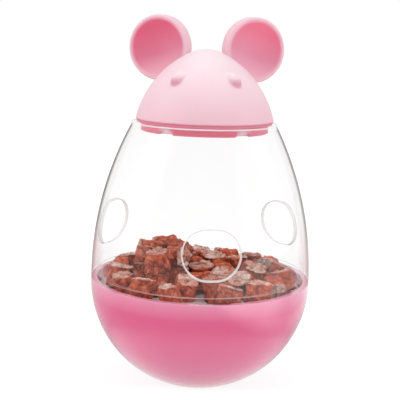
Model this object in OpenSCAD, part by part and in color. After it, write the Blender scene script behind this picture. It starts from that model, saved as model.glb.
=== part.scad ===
// Tumbling treat toy in the shape of a mouse: a weighted ball base, a clear egg-shaped shell
// with treat holes that twists onto the base, and a pull-off mouse-head lid with two ears.
// Millimetres. +Z up, the face looks along -Y, the origin is the middle of the standing flat.

/* [Base] */
// Radius of the ball base, and of the clear shell at the seam
body_r = 40; // [37:0.5:43]
// Straight band of the base under the seam
rim_band = 1; // [0.6:0.1:2]
// Wall of the base
base_wall = 2.2; // [2:0.1:2.8]
// Radius of the flat that the base comes to rest on
foot_r = 6; // [4:0.5:8]
// Ribs in the base that carry the floor plate
rib_count = 6; // [3:1:8]
// Thickness of one rib
rib_t = 1.8; // [1.2:0.1:2.6]
// Free space between the weight and the ribs
rib_clear = 3; // [1.5:0.5:5]

/* [Weight] */
// Thickness of the iron weight on the axis
weight_h = 12; // [9:0.5:14]
// Gap between the weight and the bowl and boss around it
weight_gap = 0.2; // [0.1:0.05:0.4]
// Radius of the screw boss in the middle of the base
boss_r = 4; // [3.4:0.1:5]
// Radius of the washer over the weight
washer_r = 7; // [6:0.5:10]
// Thickness of the washer
washer_t = 0.8; // [0.6:0.1:1.5]
// Shank radius of the self-tapping screw
screw_r = 1.5; // [1.2:0.1:1.9]
// Shank length of the screw below its head
screw_len = 9; // [6:0.5:10]
// Head radius of the screw
screw_head_r = 2.9; // [2.5:0.1:3.4]
// Head height of the screw
screw_head_h = 2; // [1.6:0.1:2.6]

/* [Floor plate] */
// Depth of the white floor below the seam
floor_drop = 4; // [3.5:0.1:6]
// Thickness of the floor plate
plate_t = 1.8; // [1.2:0.1:2.6]
// Clearance around the floor plate
plate_gap = 0.3; // [0.2:0.05:0.5]
// Height of the centring ring under the floor plate
plate_ring_h = 3; // [2:0.5:5]

/* [Clear shell] */
// Height of the shell from the seam to its mouth
shell_h = 56.9; // [50:0.5:62]
// Radius of the long curve of the shell's side
shell_arc_r = 120.5; // [112:0.5:135]
// Wall of the shell
shell_wall = 1.8; // [1.4:0.1:2.2]
// Height of the thick foot ring of the shell
shell_foot_h = 1.6; // [1.2:0.1:2.4]
// Wall of the spigot that drops into the base
spigot_wall = 1.6; // [1.2:0.1:2]
// Running gap between the spigot and the base
turn_gap = 0.25; // [0.15:0.05:0.35]
// Height of the thick collar in the shell's mouth
collar_h = 2.2; // [1.5:0.1:3]
// How far the collar stands inside the shell's wall
collar_lip = 0.5; // [0.3:0.1:0.8]
// How far the upright rim of the mouth stands outside the end of the side curve
mouth_rim = 0.7; // [0.4:0.1:0.9]

/* [Treat holes] */
// Number of treat holes
hole_count = 3; // [2:1:4]
// Width of a treat hole
hole_w = 19.2; // [18:0.2:21]
// Height of a treat hole
hole_h = 16.4; // [14:0.2:17.2]
// Height of the hole's centre above the seam
hole_up = 16.5; // [14:0.1:20]
// Turn of the first hole from the face, towards +X
hole_turn = 5.5; // [0:0.5:30]

/* [Twist lock] */
// Number of locking lugs
lug_count = 3; // [2:1:4]
// Angle that one lug covers
lug_angle = 14; // [10:1:20]
// How far a lug stands out of the spigot
lug_out = 0.9; // [0.6:0.1:1.1]
// Height of a lug
lug_h = 1.2; // [0.8:0.1:1.4]
// Height of a lug's underside above the spigot's lower end
lug_up = 0.6; // [0.5:0.1:0.9]
// Turn from locked to free
lock_turn = 30; // [20:1:40]

/* [Mouse head] */
// Height of the dome
dome_h = 25.1; // [22:0.5:30]
// Radius of the dome's top
dome_tip_r = 14; // [12:0.5:16]
// Lean of the dome's side at its lower edge
dome_lean = 13; // [8:1:20]
// How far the dome's lower edge stays inside the shell's mouth
dome_inset = 0.8; // [0.5:0.1:1.5]
// Wall of the dome
head_wall = 2; // [1.6:0.1:2.6]
// Height of the ring that sets the dome on the shell
seat_h = 0.9; // [0.6:0.1:1.5]
// How far the seat ring lies behind the dome's edge
seat_inset = 0.5; // [0.3:0.1:0.7]
// Depth of the plug that goes into the shell's mouth
plug_h = 3.1; // [2.6:0.1:5]
// Wall of the plug
plug_wall = 1.6; // [1.2:0.1:2]
// Gap between the plug and the shell's mouth
lid_gap = 0.25; // [0.15:0.05:0.4]
// Number of arched notches in the plug's lower edge
notch_count = 5; // [3:1:8]
// Radius of a notch's arch
notch_r = 3.2; // [2.4:0.1:3.6]
// How far the arch's centre lies below the plug
notch_drop = 0.8; // [0.4:0.1:1.6]

/* [Eyes] */
// Height of the eyes above the dome's lower edge
eye_up = 15.8; // [12:0.2:17]
// Turn of each eye from the middle of the face
eye_turn = 33; // [28:0.5:42]
// Half width of an eye
eye_r = 2.2; // [1.6:0.1:2.6]
// Length of an eye between the centres of its round ends
eye_len = 2.6; // [1.5:0.1:4]
// Lean of the eyes towards each other at the top
eye_lean = 24; // [0:1:40]
// Depth of an eye's centre line below the dome's skin
eye_sink = 1; // [0.4:0.1:1.4]

/* [Ears] */
// Radius of an ear
ear_r = 11.75; // [10:0.25:14]
// Thickness of an ear
ear_t = 5; // [4:0.25:6]
// Rounding of an ear's edges
ear_edge_r = 1; // [0.6:0.1:1.4]
// Width of the rim around the ear's dish
ear_rim = 1.4; // [1.2:0.1:2.5]
// Depth of the ear's dish
ear_dish = 2.8; // [1.5:0.1:3]
// Lean of the line from the dome's top sphere to the ear
ear_lean = 52; // [48:1:58]
// Distance of the ear's centre from the dome's top sphere
ear_out = 8.7; // [7.5:0.1:9.5]
// Distance of the ear's front behind the middle of the head
ear_back = 5.5; // [4.5:0.25:6.5]
// Turn of the ears outwards
ear_splay = 24; // [10:1:30]
// Width of the ear's tongue in the head
tongue_w = 6; // [4:0.25:7]
// Thickness of the ear's tongue
tongue_t = 2; // [1.6:0.1:2.4]
// Length of the tongue past the dome's skin
tongue_in = 5.5; // [4:0.25:7]
// Gap between an ear and the head
ear_gap = 0.1; // [0.05:0.05:0.2]

/* [Treats] */
// Rings of treats around the middle one
treat_rings = 3; // [2:1:4]
// Height of one layer of treats
treat_h = 8.4; // [7.4:0.2:8.6]
// Room between treats that lean towards each other, and under each treat
treat_gap = 0.05; // [0.05:0.05:0.3]
// Steepest lean of a treat
treat_lean = 13; // [6:1:16]
// Sides of an angular treat
chunk_sides = 5; // [4:1:6]
// How far from the middle, towards -X, a second layer lies on the first
heap_from = 7; // [4:1:16]

/* [Hidden] */
$fn = 96;
// Extra depth of a cut, so that it leaves no skin behind
over = 1;
// Turn of the face from +X
face = -90;

// Base: centre of the ball, seam and inside radius
ball_z = sqrt(pow(body_r, 2) - pow(foot_r, 2));
rim_z = ball_z + rim_band;
base_in_r = body_r - base_wall;
// Inside radius of the bowl at a height below the ball's centre
function bowl_r_at(z) = sqrt(pow(base_in_r, 2) - pow(ball_z - z, 2));

// Weight, boss and screw
weight_ball_r = base_in_r - weight_gap;
weight_top_z = ball_z - weight_ball_r + weight_h;
weight_edge_r = sqrt(pow(weight_ball_r, 2) - pow(ball_z - weight_top_z, 2));
boss_top_z = weight_top_z - weight_gap;
screw_seat_z = weight_top_z + washer_t;
screw_gap = 0.05;
screw_slot_w = screw_head_r * 0.25;
screw_slot_depth = screw_head_h * 0.5;
rib_in_r = weight_edge_r + rib_clear;

// Floor plate
floor_z = rim_z - floor_drop;
plate_z = floor_z - plate_t;
plate_r = bowl_r_at(plate_z) - plate_gap;
plate_ring_r = rib_in_r - plate_gap;

// Clear shell: spigot, long side curve and mouth
spigot_z = floor_z + plate_gap;
spigot_r = bowl_r_at(spigot_z) - turn_gap;
spigot_in_r = spigot_r - spigot_wall;
mouth_z = rim_z + shell_h;
shell_axis_r = body_r - shell_arc_r;
function shell_r_at(z, arc_r) = shell_axis_r + sqrt(pow(arc_r, 2) - pow(z - rim_z, 2));
mouth_out_r = shell_r_at(mouth_z, shell_arc_r);
mouth_r = shell_r_at(mouth_z, shell_arc_r - shell_wall) - collar_lip;
// The upright rim reaches down past the side curve, so that it ends inside the wall
mouth_rim_h = 2.5 * mouth_rim;
hole_z = rim_z + hole_up;

// Twist lock
lug_r = spigot_r + lug_out;
lug_z = spigot_z + lug_up;
lug_gap_angle = 2;

// Mouse head: the dome is a top sphere that runs into a longer side curve
dome_z = mouth_z + seat_h;
dome_r = mouth_out_r - dome_inset;
seat_r = dome_r - seat_inset;
plug_r = mouth_r - lid_gap;
plug_in_r = plug_r - plug_wall;
plug_z = mouth_z - plug_h;
tip_rise = dome_h - dome_tip_r;
flank_r = (pow(dome_r, 2) + pow(tip_rise, 2) - pow(dome_tip_r, 2))
    / (2 * (dome_r * cos(dome_lean) - tip_rise * sin(dome_lean) - dome_tip_r));
flank_c = [dome_r - flank_r * cos(dome_lean), dome_z - flank_r * sin(dome_lean)];
tip_c = [0, dome_z + tip_rise];
join_up = (tip_c - flank_c) / (flank_r - dome_tip_r);
function join_z(grow) = tip_c[1] + (dome_tip_r + grow) * join_up[1];

// Eyes on the dome's side
eye_z = dome_z + eye_up;
eye_skin_r = flank_c[0] + sqrt(pow(flank_r, 2) - pow(eye_z - flank_c[1], 2));
eye_normal = asin((eye_z - flank_c[1]) / flank_r);

// Ears
ear_reach = dome_tip_r + ear_out;
ear_x = ear_reach * sin(ear_lean);
ear_z = tip_c[1] + ear_reach * cos(ear_lean);
dish_half = ear_r - ear_rim;
dish_r = (pow(dish_half, 2) + pow(ear_dish, 2)) / (2 * ear_dish);
tongue_len = ear_out + tongue_in;

// Treats stand in rings on the floor, the outer ring along the spigot
treat_pitch = (spigot_in_r - plate_gap) / (treat_rings + 0.5);
function ring_r(ring) = ring * treat_pitch;
function ring_count(ring) = max(1, 6 * ring);
function ring_turn(ring, i) = (i + 0.5) * 360 / ring_count(ring);
// The widest treats that still have room to lean, each as high as the layer
treat_d = (treat_pitch - treat_gap - treat_h * tan(treat_lean)) * cos(treat_lean) / cos(2 * treat_lean);
function treat_len(lean) = (treat_h - treat_d * sin(lean)) / cos(lean);
function layer_z(layer) = floor_z + (layer + 1) * (treat_gap + treat_h) - treat_h / 2;
// Where a second layer lies on the first one, the lower treat stands upright
function carries(ring, i) = ring < treat_rings && -ring_r(ring) * cos(ring_turn(ring, i)) > heap_from;
// Steps from an upright treat to the steepest one, and turn of a treat's lean from its neighbour's
lean_steps = 3;
lean_turn = 137.5;
function lean_step(ring, i, layer) = (ring + 2 * i + layer) % (lean_steps + 1);
function lean_of(ring, i, layer) =
    layer == 0 && carries(ring, i) ? 0 : treat_lean * lean_step(ring, i, layer) / lean_steps;
// The floor shows under the face, where the outer ring has no treat
function is_bare(ring, i) =
    ring == treat_rings && abs(ring_turn(ring, i) - face - 360) < 180 / ring_count(ring);

// Half section of the ball base up to a height above its centre
module bowl_section(r, band) {
    intersection() {
        translate([0, ball_z]) circle(r);
        square([r, ball_z]);
    }
    translate([0, ball_z]) square([r, band]);
}

// Pink bowl with ribs for the floor plate, a screw boss and the grooves of the twist lock
module base_bowl() {
    color("palevioletred") difference() {
        union() {
            rotate_extrude() difference() {
                bowl_section(body_r, rim_band);
                bowl_section(base_in_r, rim_band + over);
            }
            floor_ribs();
            translate([0, 0, ball_z - body_r + base_wall / 2])
                cylinder(r = boss_r, h = boss_top_z - ball_z + body_r - base_wall / 2);
        }
        translate([0, 0, screw_seat_z - screw_len - over])
            cylinder(r = screw_r + screw_gap, h = screw_len + over);
        lock_grooves();
    }
}

// Gussets on the bowl's wall, level with the underside of the floor plate
module floor_ribs() {
    intersection() {
        rotate_extrude() bowl_section(base_in_r + base_wall / 2, rim_band);
        for (i = [0 : rib_count - 1])
            rotate(face + i * 360 / rib_count)
                translate([rib_in_r, -rib_t / 2, 0]) cube([body_r, rib_t, plate_z]);
    }
}

// Each groove runs along the wall and opens upwards where the lug is free
module lock_grooves() {
    groove_r = lug_r + turn_gap;
    groove_in_r = spigot_r - over;
    for (i = [0 : lug_count - 1]) rotate(i * 360 / lug_count) {
        rotate(-lug_gap_angle) rotate_extrude(angle = lock_turn + lug_angle)
            translate([groove_in_r, lug_z - turn_gap])
                square([groove_r - groove_in_r, lug_h + 2 * turn_gap]);
        rotate(lock_turn - lug_gap_angle) rotate_extrude(angle = lug_angle + 2 * lug_gap_angle)
            translate([groove_in_r, lug_z - 2 * turn_gap])
                square([groove_r + turn_gap - groove_in_r, rim_z - lug_z + 2 * turn_gap + over]);
    }
}

// Cast weight, dished to the bowl, with a hole for the boss
module counterweight() {
    color("dimgray") rotate_extrude() difference() {
        intersection() {
            translate([0, ball_z]) circle(weight_ball_r);
            square([weight_ball_r, weight_top_z]);
        }
        square([boss_r + weight_gap, weight_top_z + over]);
    }
}

// Washer that holds the weight down
module weight_washer() {
    color("silver") translate([0, 0, weight_top_z]) difference() {
        cylinder(r = washer_r, h = washer_t);
        translate([0, 0, -over]) cylinder(r = screw_r + weight_gap, h = washer_t + 2 * over);
    }
}

// Pan-head screw with a cross recess
module weight_screw() {
    color("lightgray") translate([0, 0, screw_seat_z]) difference() {
        union() {
            translate([0, 0, -screw_len]) cylinder(r = screw_r, h = screw_len);
            cylinder(r1 = screw_head_r, r2 = screw_head_r * 0.8, h = screw_head_h);
        }
        for (turn = [0, 90]) rotate(turn)
            translate([-screw_head_r * 0.55, -screw_slot_w / 2, screw_head_h - screw_slot_depth])
                cube([screw_head_r * 1.1, screw_slot_w, screw_slot_depth + over]);
    }
}

// White floor that covers the weight, with a ring that centres it between the ribs
module floor_plate() {
    color("whitesmoke") rotate_extrude() {
        translate([0, plate_z]) square([plate_r, plate_t]);
        translate([plate_ring_r - plate_t, plate_z - plate_ring_h])
            square([plate_t, plate_ring_h + plate_t / 2]);
    }
}

// Egg-shaped clear shell: side wall, foot ring, spigot with lugs, and collar and rim at the mouth
module clear_shell() {
    color("lightcyan", 0.4) difference() {
        union() {
            rotate_extrude() {
                shell_section();
                translate([spigot_in_r, rim_z])
                    square([body_r - shell_wall / 2 - spigot_in_r, shell_foot_h]);
                translate([spigot_in_r, spigot_z])
                    square([spigot_wall, rim_z - spigot_z + shell_foot_h]);
                translate([mouth_r, mouth_z - mouth_rim_h])
                    square([mouth_out_r + mouth_rim - mouth_r, mouth_rim_h]);
            }
            lock_lugs();
        }
        for (i = [0 : hole_count - 1]) rotate(face + hole_turn + i * 360 / hole_count) treat_hole();
    }
}

// Side wall between two long curves with one centre, and the collar that holds the lid's plug
module shell_section() {
    difference() {
        intersection() {
            translate([shell_axis_r, rim_z]) circle(shell_arc_r);
            translate([0, rim_z]) square([body_r, shell_h]);
        }
        difference() {
            translate([shell_axis_r, rim_z]) circle(shell_arc_r - shell_wall);
            translate([mouth_r, mouth_z - collar_h]) square([body_r, collar_h + over]);
        }
    }
}

// Oval hole through the wall along +X
module treat_hole() {
    flat = (hole_w - hole_h) / 2;
    translate([0, 0, hole_z]) rotate([90, 0, 90]) linear_extrude(height = body_r + over) {
        for (side = [-1, 1]) translate([side * flat, 0]) circle(hole_h / 2);
        square([2 * flat, hole_h], center = true);
    }
}

// Lugs on the spigot that lock in the grooves of the base
module lock_lugs() {
    for (i = [0 : lug_count - 1]) rotate(i * 360 / lug_count) rotate_extrude(angle = lug_angle)
        translate([spigot_r - spigot_wall / 2, lug_z])
            square([lug_r - spigot_r + spigot_wall / 2, lug_h]);
}

// Half section of the dome, grown outwards, from a lower edge up
module dome_section(grow, low_z) {
    intersection() {
        translate(flank_c) circle(flank_r + grow);
        translate([0, low_z]) square([dome_r + grow + over, join_z(grow) - low_z]);
    }
    intersection() {
        translate(tip_c) circle(dome_tip_r + grow);
        translate(tip_c) square([dome_tip_r + grow, dome_tip_r + grow]);
    }
}

// Hollow mouse head: dome with eyes, seat ring and notched plug
module mouse_head() {
    color("pink") difference() {
        union() {
            rotate_extrude() {
                dome_section(0, dome_z);
                translate([0, mouth_z]) square([seat_r, 2 * seat_h]);
                translate([0, plug_z]) square([plug_r, plug_h + seat_h]);
            }
            for (side = [-1, 1]) eye(side);
        }
        rotate_extrude() {
            dome_section(-head_wall, dome_z + seat_h);
            translate([0, plug_z - over]) square([plug_in_r, dome_z + 2 * seat_h - plug_z + over]);
        }
        for (i = [0 : notch_count - 1]) rotate(face + (i + 0.5) * 360 / notch_count)
            translate([0, 0, plug_z - notch_drop]) rotate([0, 90, 0]) cylinder(r = notch_r, h = dome_r);
        for (side = [-1, 1]) ear_place(side) tongue(ear_gap);
    }
}

// Raised oval eye, lying on the dome's skin
module eye(side) {
    rotate(face + side * eye_turn) translate([eye_skin_r, 0, eye_z]) rotate([0, 90 - eye_normal, 0])
        rotate(side * eye_lean) translate([0, 0, -eye_sink]) rotate([0, 90, 0]) {
            cylinder(r = eye_r, h = eye_len, center = true);
            for (end = [-1, 1]) translate([0, 0, end * eye_len / 2]) sphere(eye_r);
        }
}

// Puts an ear's own frame, with +Z out of its dish and -Y down along its tongue, on the head
module ear_place(side) {
    translate([side * ear_x, ear_back, ear_z]) rotate(side * ear_splay) rotate([90, 0, 0])
        rotate(-side * ear_lean) children();
}

// Flat tongue that runs from the ear through the slot in the dome
module tongue(grow) {
    translate([-tongue_w / 2 - grow, -tongue_len - grow, -ear_t - grow])
        cube([tongue_w + 2 * grow, tongue_len + grow, tongue_t + 2 * grow]);
}

// Dished round ear, cut to the dome's skin, with its tongue
module ear(side) {
    difference() {
        ear_place(side) rotate_extrude() difference() {
            union() {
                translate([0, -ear_t]) square([ear_r - ear_edge_r, ear_t]);
                translate([0, ear_edge_r - ear_t]) square([ear_r, ear_t - 2 * ear_edge_r]);
                for (edge = [ear_edge_r - ear_t, -ear_edge_r])
                    translate([ear_r - ear_edge_r, edge]) circle(ear_edge_r);
            }
            translate([-ear_r, -2 * ear_t]) square([ear_r, 3 * ear_t]);
            translate([0, dish_r - ear_dish]) circle(dish_r);
        }
        rotate_extrude() dome_section(ear_gap, dome_z);
    }
    ear_place(side) tongue(0);
}

module ear_left() {
    color("lightpink") ear(-1);
}

module ear_right() {
    color("lightpink") ear(1);
}

// Round and angular treats take turns around each ring
module treat_heap(kind, sides) {
    for (ring = [0 : treat_rings])
        for (i = [0 : ring_count(ring) - 1])
            for (layer = [0 : carries(ring, i) ? 1 : 0])
                if ((ring + i + layer) % 2 == kind && !is_bare(ring, i))
                    rotate(ring_turn(ring, i))
                        translate([ring_r(ring), 0, layer_z(layer)])
                            treat(lean_of(ring, i, layer), (i + layer) * lean_turn, sides);
}

// One treat about its middle, leaning towards a turn
module treat(lean, turn, sides) {
    rotate(turn) rotate([0, lean, 0])
        cylinder(d = treat_d, h = treat_len(lean), center = true, $fn = sides);
}

module treat_buttons() {
    color("sienna") treat_heap(0, $fn);
}

module treat_chunks() {
    color("saddlebrown") treat_heap(1, chunk_sides);
}

base_bowl();
counterweight();
weight_washer();
weight_screw();
floor_plate();
clear_shell();
mouse_head();
ear_left();
ear_right();
treat_buttons();
treat_chunks();
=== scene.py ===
import math
import random

import bmesh
import bpy
import numpy as np
from mathutils import Matrix, Vector, noise


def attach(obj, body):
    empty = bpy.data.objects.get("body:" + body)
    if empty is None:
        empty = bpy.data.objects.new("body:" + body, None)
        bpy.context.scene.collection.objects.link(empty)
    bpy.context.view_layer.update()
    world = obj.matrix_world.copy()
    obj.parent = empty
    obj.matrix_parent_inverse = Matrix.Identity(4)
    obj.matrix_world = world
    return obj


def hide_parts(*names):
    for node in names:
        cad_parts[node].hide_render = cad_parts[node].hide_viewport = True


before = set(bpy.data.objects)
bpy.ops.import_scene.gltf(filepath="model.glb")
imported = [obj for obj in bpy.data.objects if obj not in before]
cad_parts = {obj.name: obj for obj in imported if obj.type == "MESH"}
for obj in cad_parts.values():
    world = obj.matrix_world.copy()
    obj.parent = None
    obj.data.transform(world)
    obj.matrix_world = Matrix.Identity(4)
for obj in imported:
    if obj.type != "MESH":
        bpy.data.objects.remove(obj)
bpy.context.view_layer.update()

# Sizes of the toy in millimetres, named as in the part's source. The leans and the splay are in
# radians, the other angles in degrees.
MM = 0.001
FACE = -90.0

# Base, spigot and lugs
BODY_R, FOOT_R, RIM_BAND, BASE_WALL = 40.0, 6.0, 1.0, 2.2
FLOOR_DROP, PLATE_GAP, TURN_GAP, SPIGOT_WALL = 4.0, 0.3, 0.25, 1.6
LUG_COUNT, LUG_ANGLE, LUG_OUT, LUG_UP, LUG_H = 3, 14, 0.9, 0.6, 1.2
BALL_Z = math.sqrt(BODY_R ** 2 - FOOT_R ** 2)
RIM_Z = BALL_Z + RIM_BAND
FLOOR_Z = RIM_Z - FLOOR_DROP
SPIGOT_Z = FLOOR_Z + PLATE_GAP
SPIGOT_R = math.sqrt((BODY_R - BASE_WALL) ** 2 - (BALL_Z - SPIGOT_Z) ** 2) - TURN_GAP
SPIGOT_IN_R = SPIGOT_R - SPIGOT_WALL
LUG_R, LUG_Z = SPIGOT_R + LUG_OUT, SPIGOT_Z + LUG_UP

# Clear shell and treat holes
SHELL_H, SHELL_ARC_R, SHELL_WALL, SHELL_FOOT_H = 56.9, 120.5, 1.8, 1.6
COLLAR_H, COLLAR_LIP, MOUTH_RIM = 2.2, 0.5, 0.7
HOLE_COUNT, HOLE_TURN, HOLE_W, HOLE_H, HOLE_UP = 3, 5.5, 19.2, 16.4, 16.5
SHELL_AXIS_R = BODY_R - SHELL_ARC_R
MOUTH_Z, HOLE_Z = RIM_Z + SHELL_H, RIM_Z + HOLE_UP
COLLAR_Z, FOOT_TOP_Z = MOUTH_Z - COLLAR_H, RIM_Z + SHELL_FOOT_H


def shell_r(z, inset=0.0):
    """Radius of the shell's side at a height, or of the face that lies inset from it."""
    return SHELL_AXIS_R + math.sqrt((SHELL_ARC_R - inset) ** 2 - (z - RIM_Z) ** 2)


MOUTH_OUT_R = shell_r(MOUTH_Z)
MOUTH_R = shell_r(MOUTH_Z, SHELL_WALL) - COLLAR_LIP
MOUTH_RIM_R = MOUTH_OUT_R + MOUTH_RIM
MOUTH_RIM_Z = RIM_Z + math.sqrt(SHELL_ARC_R ** 2 - (MOUTH_RIM_R - SHELL_AXIS_R) ** 2)

# Mouse head, eyes and ears
DOME_H, DOME_TIP_R, DOME_LEAN, DOME_INSET, HEAD_WALL = 25.1, 14.0, math.radians(13), 0.8, 2.0
SEAT_H, SEAT_INSET, PLUG_H, PLUG_WALL, LID_GAP = 0.9, 0.5, 3.1, 1.6, 0.25
NOTCH_COUNT, NOTCH_R, NOTCH_DROP = 5, 3.2, 0.8
DOME_Z, DOME_R = MOUTH_Z + SEAT_H, MOUTH_OUT_R - DOME_INSET
SEAT_R = DOME_R - SEAT_INSET
PLUG_R, PLUG_Z = MOUTH_R - LID_GAP, MOUTH_Z - PLUG_H
PLUG_IN_R = PLUG_R - PLUG_WALL
TIP_RISE = DOME_H - DOME_TIP_R
TIP_Z = DOME_Z + TIP_RISE
FLANK_R = (DOME_R ** 2 + TIP_RISE ** 2 - DOME_TIP_R ** 2) / (
    2 * (DOME_R * math.cos(DOME_LEAN) - TIP_RISE * math.sin(DOME_LEAN) - DOME_TIP_R))
FLANK_C = (DOME_R - FLANK_R * math.cos(DOME_LEAN), DOME_Z - FLANK_R * math.sin(DOME_LEAN))
JOIN_ANGLE = math.atan2(TIP_Z - FLANK_C[1], -FLANK_C[0])
EYE_UP, EYE_TURN, EYE_LEAN = 15.8, 33.0, math.radians(24)
EYE_R, EYE_LEN, EYE_SINK = 2.2, 2.6, 1.0
EYE_Z = DOME_Z + EYE_UP
EAR_R, EAR_T, EAR_EDGE_R, EAR_RIM, EAR_DISH = 11.75, 5.0, 1.0, 1.4, 2.8
EAR_LEAN, EAR_OUT, EAR_BACK, EAR_SPLAY = math.radians(52), 8.7, 5.5, math.radians(24)
TONGUE_W, TONGUE_T, TONGUE_IN = 6.0, 2.0, 5.5

# Treats
TREAT_RINGS, TREAT_H, TREAT_GAP, TREAT_LEAN = 3, 8.4, 0.05, math.radians(13)
CHUNK_SIDES, HEAP_FROM, LEAN_STEPS, LEAN_TURN = 5, 7.0, 3, 137.5
TREAT_PITCH = (SPIGOT_IN_R - PLATE_GAP) / (TREAT_RINGS + 0.5)
TREAT_D = ((TREAT_PITCH - TREAT_GAP - TREAT_H * math.tan(TREAT_LEAN))
           * math.cos(TREAT_LEAN) / math.cos(2 * TREAT_LEAN))


# Meshes

def clamp(value):
    """Keeps a value between 0 and 1."""
    return max(0.0, min(1.0, value))


def add_object(name, data):
    """Puts a mesh, a lamp or a camera into the scene."""
    obj = bpy.data.objects.new(name, data)
    bpy.context.scene.collection.objects.link(obj)
    return obj


def make_piece(name, verts, faces, values=None):
    """Smooth closed mesh from points in millimetres, with named values per point."""
    mesh = bpy.data.meshes.new(name)
    mesh.from_pydata((np.asarray(verts, float) * MM).tolist(), [], faces)
    for key, numbers in (values or {}).items():
        mesh.attributes.new(key, "FLOAT", "POINT").data.foreach_set("value", numbers)
    bm = bmesh.new()
    bm.from_mesh(mesh)
    bmesh.ops.recalc_face_normals(bm, faces=bm.faces)
    bm.to_mesh(mesh)
    bm.free()
    mesh.shade_smooth()
    return add_object(name, mesh)


def fillet(before, corner, after, radius, steps=4):
    """Points of the arc that rounds a corner."""
    p0, p, p1 = (np.array(q, float) for q in (before, corner, after))
    a, b = (p0 - p) / np.linalg.norm(p0 - p), (p1 - p) / np.linalg.norm(p1 - p)
    half = math.acos(max(-1, min(1, float(a @ b)))) / 2
    centre = p + (a + b) / np.linalg.norm(a + b) * radius / math.sin(half)
    start, end = (p + v * radius / math.tan(half) - centre for v in (a, b))
    turn = math.atan2(start[0] * end[1] - start[1] * end[0], float(start @ end))
    points = []
    for i in range(steps + 1):
        t = turn * i / steps
        points.append((centre[0] + start[0] * math.cos(t) - start[1] * math.sin(t),
                       centre[1] + start[0] * math.sin(t) + start[1] * math.cos(t)))
    return points


def profile(points, closed):
    """Line through (radius, height, rounding) points, with its corners rounded."""
    line = []
    for i, (r, z, rounding) in enumerate(points):
        inner = closed or 0 < i < len(points) - 1
        if rounding and inner:
            after = points[(i + 1) % len(points)][:2]
            line += fillet(points[i - 1][:2], (r, z), after, rounding)
        else:
            line.append((r, z))
    return line


def spin(line, columns, bend=None):
    """Lathe from pole to pole: points and faces. bend(point, row) may move a point."""
    verts = [(0, 0, line[0][1])]
    for i, (r, z) in enumerate(line[1:-1]):
        for j in range(columns):
            a = math.tau * j / columns
            p = (r * math.cos(a), r * math.sin(a), z)
            verts.append(bend(p, i + 1) if bend else p)
    verts.append((0, 0, line[-1][1]))
    end, rows = len(verts) - 1, len(line) - 2
    faces = []
    for j in range(columns):
        n = (j + 1) % columns
        faces.append((0, 1 + j, 1 + n))
        faces.append((end, 1 + (rows - 1) * columns + n, 1 + (rows - 1) * columns + j))
        for i in range(rows - 1):
            a, b = 1 + i * columns, 1 + (i + 1) * columns
            faces.append((a + j, b + j, b + n, a + n))
    return verts, faces


def settle(obj, name, *steps):
    """Applies booleans (operation, other object) to a piece, and keeps its hard edges."""
    hard_edge = math.radians(32)
    for n, (operation, other) in enumerate(steps):
        cut = obj.modifiers.new(f"step{n}", "BOOLEAN")
        cut.operation, cut.object, cut.solver = operation, other, "EXACT"
    depsgraph = bpy.context.evaluated_depsgraph_get()
    mesh = bpy.data.meshes.new_from_object(obj.evaluated_get(depsgraph))
    for _, other in steps:
        bpy.data.objects.remove(other)
    obj.modifiers.clear()
    obj.data = mesh
    mesh.name = name
    mesh.shade_smooth()
    mesh.set_sharp_from_angle(angle=hard_edge)
    return obj


# Clear shell. Its faces have three looks: the outer skin, milky lips and the clear rest.
SKIN, LIP, CLEAR = range(3)


def stadium_reach(angle, grow):
    """Distance from a treat hole's middle to its edge, grown outwards, along an angle."""
    flat, r = (HOLE_W - HOLE_H) / 2, HOLE_H / 2 + grow
    c, s = abs(math.cos(angle)), abs(math.sin(angle))
    if s * flat >= r * c:
        return r / s
    return flat * c + math.sqrt(r * r - (flat * s) ** 2)


def shell_section(heights, lug_rows):
    """Closed section of the shell: up its outside, over the mouth and down its inside."""
    seam = 0.12
    outer = [(shell_r(z), z, 0) for z in heights]
    inner = [(shell_r(z, SHELL_WALL), z, 0) for z in heights[::-1]]
    mouth = [(MOUTH_RIM_R, MOUTH_RIM_Z, 0.3), (MOUTH_RIM_R, MOUTH_Z, 0.5),
             (MOUTH_R, MOUTH_Z, 0.6), (MOUTH_R, COLLAR_Z, 0.5),
             (shell_r(COLLAR_Z, SHELL_WALL), COLLAR_Z, 0.2)]
    foot = [(shell_r(FOOT_TOP_Z, SHELL_WALL), FOOT_TOP_Z, 0.5), (SPIGOT_IN_R, FOOT_TOP_Z, 0.5),
            (SPIGOT_IN_R, SPIGOT_Z, 0.4), (SPIGOT_R, SPIGOT_Z, 0.2)]
    spigot = [(SPIGOT_R, z, 0) for z in lug_rows] + [(SPIGOT_R, RIM_Z + seam, 0.1)]
    return profile([(BODY_R, RIM_Z + seam, 0.3)] + outer + mouth + inner + foot + spigot, True)


def shell_look(here, after):
    """Look of the faces between a point of the shell's section and the next one."""
    skin_from, collar_room, rim_w, rim_h, foot_room, least_step = 1.0, 0.3, 0.6, 0.7, 0.4, 0.04
    r, z = (here[0] + after[0]) / 2, (here[1] + after[1]) / 2
    if RIM_Z + skin_from < z < MOUTH_RIM_Z and r > shell_r(z, SHELL_WALL / 2):
        return SKIN
    if z > COLLAR_Z - collar_room:
        return LIP if r > MOUTH_OUT_R - rim_w and z > MOUTH_Z - rim_h else CLEAR
    slants = min(abs(after[0] - here[0]), abs(after[1] - here[1])) > least_step
    return LIP if slants and abs(z - FOOT_TOP_Z) < foot_room else CLEAR


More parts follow.
